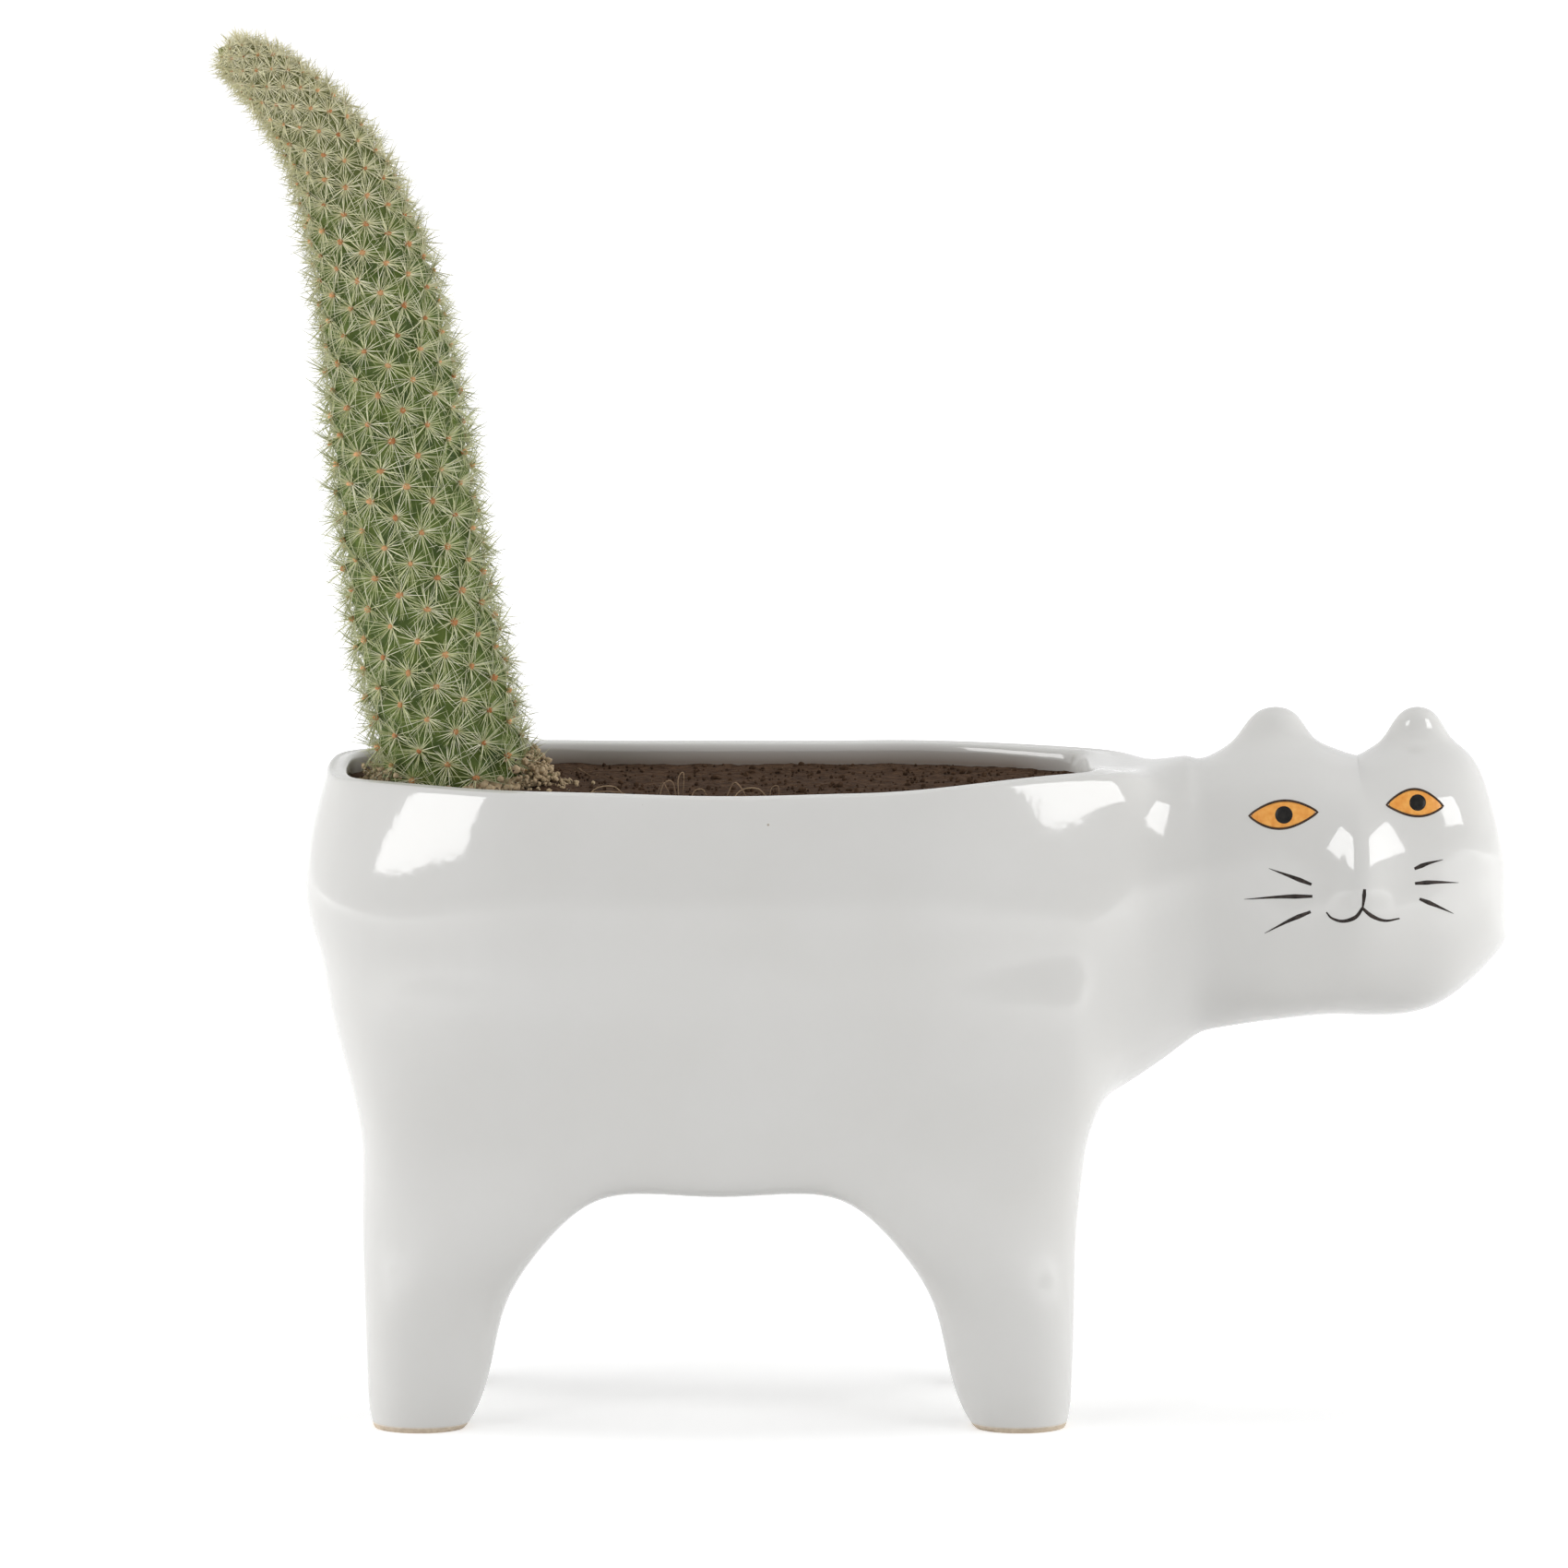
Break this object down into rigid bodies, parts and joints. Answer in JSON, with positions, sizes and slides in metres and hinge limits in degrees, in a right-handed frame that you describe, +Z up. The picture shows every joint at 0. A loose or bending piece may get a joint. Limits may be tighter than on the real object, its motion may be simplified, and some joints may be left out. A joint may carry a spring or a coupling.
{
  "type": "animal shaped planter",
  "caption": "White glazed ceramic cat standing on its feet, its hollow back filled with soil and a leaning cactus planted as the tail.",
  "frame": {"origin": "on the ground, at the middle of the whole object's box seen from above", "axes": "+Z up, +X from the rump with the cactus to the head, -Y the side that the face looks to"},
  "size_m": [0.257, 0.078, 0.2753],
  "materials": {
    "white_glaze": "glossy warm white glaze",
    "amber_enamel": "glossy amber enamel",
    "black_enamel": "glossy black enamel",
    "dark_enamel": "glossy dark brown brush strokes",
    "soil": "dark crumbly potting soil",
    "root_clump": "lighter crumbly root ball",
    "clay_pebbles": "rough fired clay pebbles",
    "cactus_flesh": "ribbed green flesh with wool",
    "cactus_spines": "pale fine spines",
    "plug_rubber": "pale matte rubber",
    "mesh_plastic": "black matte plastic"
  },
  "bodies": {
    "pot": {"planter_body": "white_glaze", "eye_iris_left": "amber_enamel", "eye_iris_right": "amber_enamel", "eye_outline_left": "dark_enamel", "eye_outline_right": "dark_enamel", "eye_pupil_left": "black_enamel", "eye_pupil_right": "black_enamel", "mouth": "dark_enamel", "whiskers_left": "dark_enamel", "whiskers_right": "dark_enamel", "drain_mesh": "mesh_plastic", "drainage_pebbles": "clay_pebbles", "potting_soil": "soil"},
    "plant": {"root_ball": "root_clump", "cactus_stem": "cactus_flesh", "cactus_spines": "cactus_spines"},
    "plug": {"drain_plug": "plug_rubber"}
  },
  "joints": [
    {"name": "plant_lift", "type": "slide", "parent": "pot", "child": "plant", "axis": [0, 0, 1], "range_m": [0, 0.08]},
    {"name": "plug_pull", "type": "slide", "parent": "pot", "child": "plug", "axis": [0, 0, -1], "range_m": [0, 0.02]}
  ]
}
